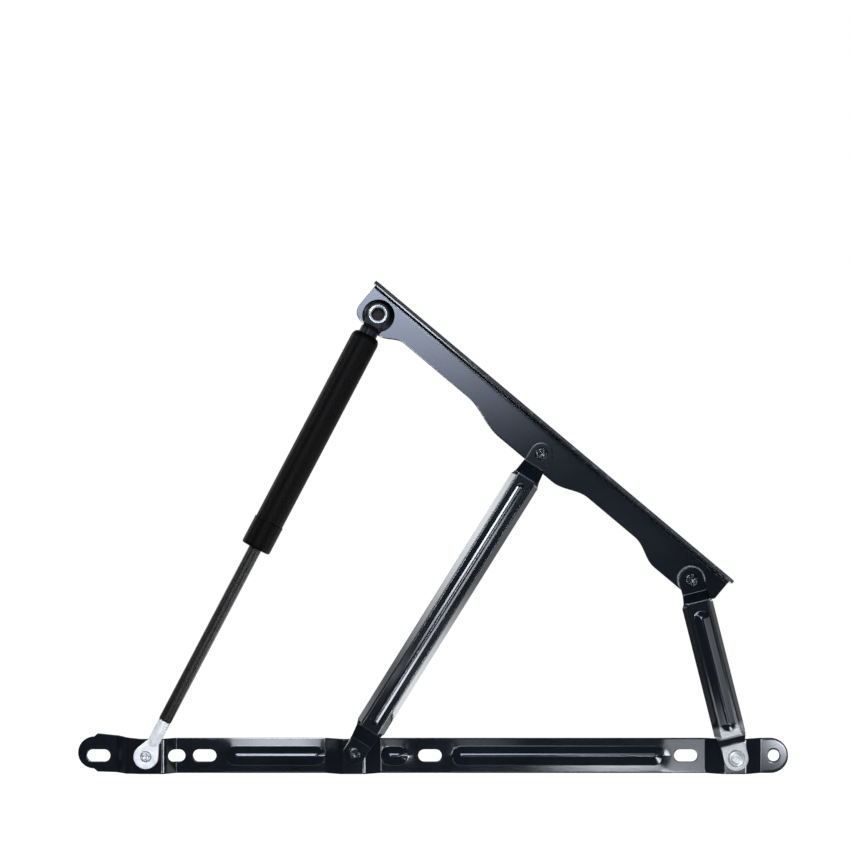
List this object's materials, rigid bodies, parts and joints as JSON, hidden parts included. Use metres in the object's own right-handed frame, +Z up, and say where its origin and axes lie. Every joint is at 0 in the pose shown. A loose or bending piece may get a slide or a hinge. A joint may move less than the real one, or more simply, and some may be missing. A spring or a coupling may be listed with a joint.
{
  "type": "bed lift mechanism",
  "caption": "Side unit of a lift-up bed: wall rail, two links and an angle arm form a linkage, raised and held open by a gas spring.",
  "frame": {"origin": "on the rail's back face, midway between its two outer slots", "axes": "+X along the rail towards the rear link, +Z up, +Y back into the bed's side board"},
  "size_m": [0.5461, 0.046, 0.3751],
  "materials": {
    "black_steel": "gloss black e-coat on pressed steel",
    "dark_rivet": "black coated rivet, peened",
    "bright_rivet": "peened steel, coating rubbed",
    "washer_steel": "plain steel",
    "bright_steel": "rolled bright steel rim",
    "tube_paint": "satin black paint on drawn tube",
    "cap_plastic": "black moulded cap",
    "rod_steel": "black nitrided and polished",
    "zinc_steel": "bright zinc plated",
    "brass": "turned sliding bush",
    "aluminium": "turned",
    "seal_rubber": "moulded seal"
  },
  "bodies": {
    "rail": {"base_rail": "black_steel", "rail_link_rivet": "dark_rivet", "rail_link_washer": "washer_steel", "rear_stud_fixed": "dark_rivet", "rear_stud_washer": "washer_steel", "gas_stud_fixed": "dark_rivet"},
    "long_link": {"long_link": "black_steel"},
    "top_arm": {"top_arm": "black_steel", "arm_link_rivet": "dark_rivet", "arm_link_washer": "washer_steel", "arm_rear_rivet": "dark_rivet", "arm_rear_washer": "washer_steel", "upper_gas_stud": "bright_steel", "upper_gas_spacer": "black_steel"},
    "rear_link": {"rear_link": "black_steel", "rear_stud_moving": "bright_rivet"},
    "gas_cylinder": {"gas_tube": "tube_paint", "upper_eye": "black_steel", "tube_end_cap": "cap_plastic", "rod_guide": "brass", "rod_seal": "seal_rubber", "seal_retainer": "washer_steel"},
    "gas_rod": {"piston_rod": "rod_steel", "piston": "aluminium", "piston_ring": "seal_rubber", "piston_nut": "washer_steel", "lower_eye": "zinc_steel", "gas_stud_moving": "bright_rivet"}
  },
  "joints": [
    {"name": "lift", "type": "hinge", "parent": "rail", "child": "long_link", "pos_m": [-0.0289, -0.014, 0.0026], "axis": [0, 1, 0], "range_deg": [0, 42], "stiffness_Nm_per_rad": 3, "springref_deg": -68.75},
    {"name": "arm_hinge", "type": "hinge", "parent": "long_link", "child": "top_arm", "pos_m": [0.11418, -0.014, 0.23157], "axis": [0, 1, 0], "range_deg": [-82, 0]},
    {"name": "rear_hinge", "type": "hinge", "parent": "top_arm", "child": "rear_link", "pos_m": [0.22878, -0.014, 0.13541], "axis": [0, 1, 0], "range_deg": [0, 110.37]},
    {"name": "gas_hinge", "type": "hinge", "parent": "top_arm", "child": "gas_cylinder", "pos_m": [-0.01035, -0.0255, 0.33737], "axis": [0, 1, 0], "range_deg": [0, 85.48]},
    {"name": "rod_slide", "type": "slide", "parent": "gas_cylinder", "child": "gas_rod", "axis": [0.4648, 0, 0.8854], "range_m": [0, 0.11427]}
  ],
  "couplings": [
    {"joint": "arm_hinge", "follows": "lift", "ratio": -1.9524},
    {"joint": "rear_hinge", "follows": "lift", "ratio": 2.6278},
    {"joint": "gas_hinge", "follows": "lift", "ratio": 2.0353},
    {"joint": "rod_slide", "follows": "lift", "m_per_rad": 0.15588}
  ]
}
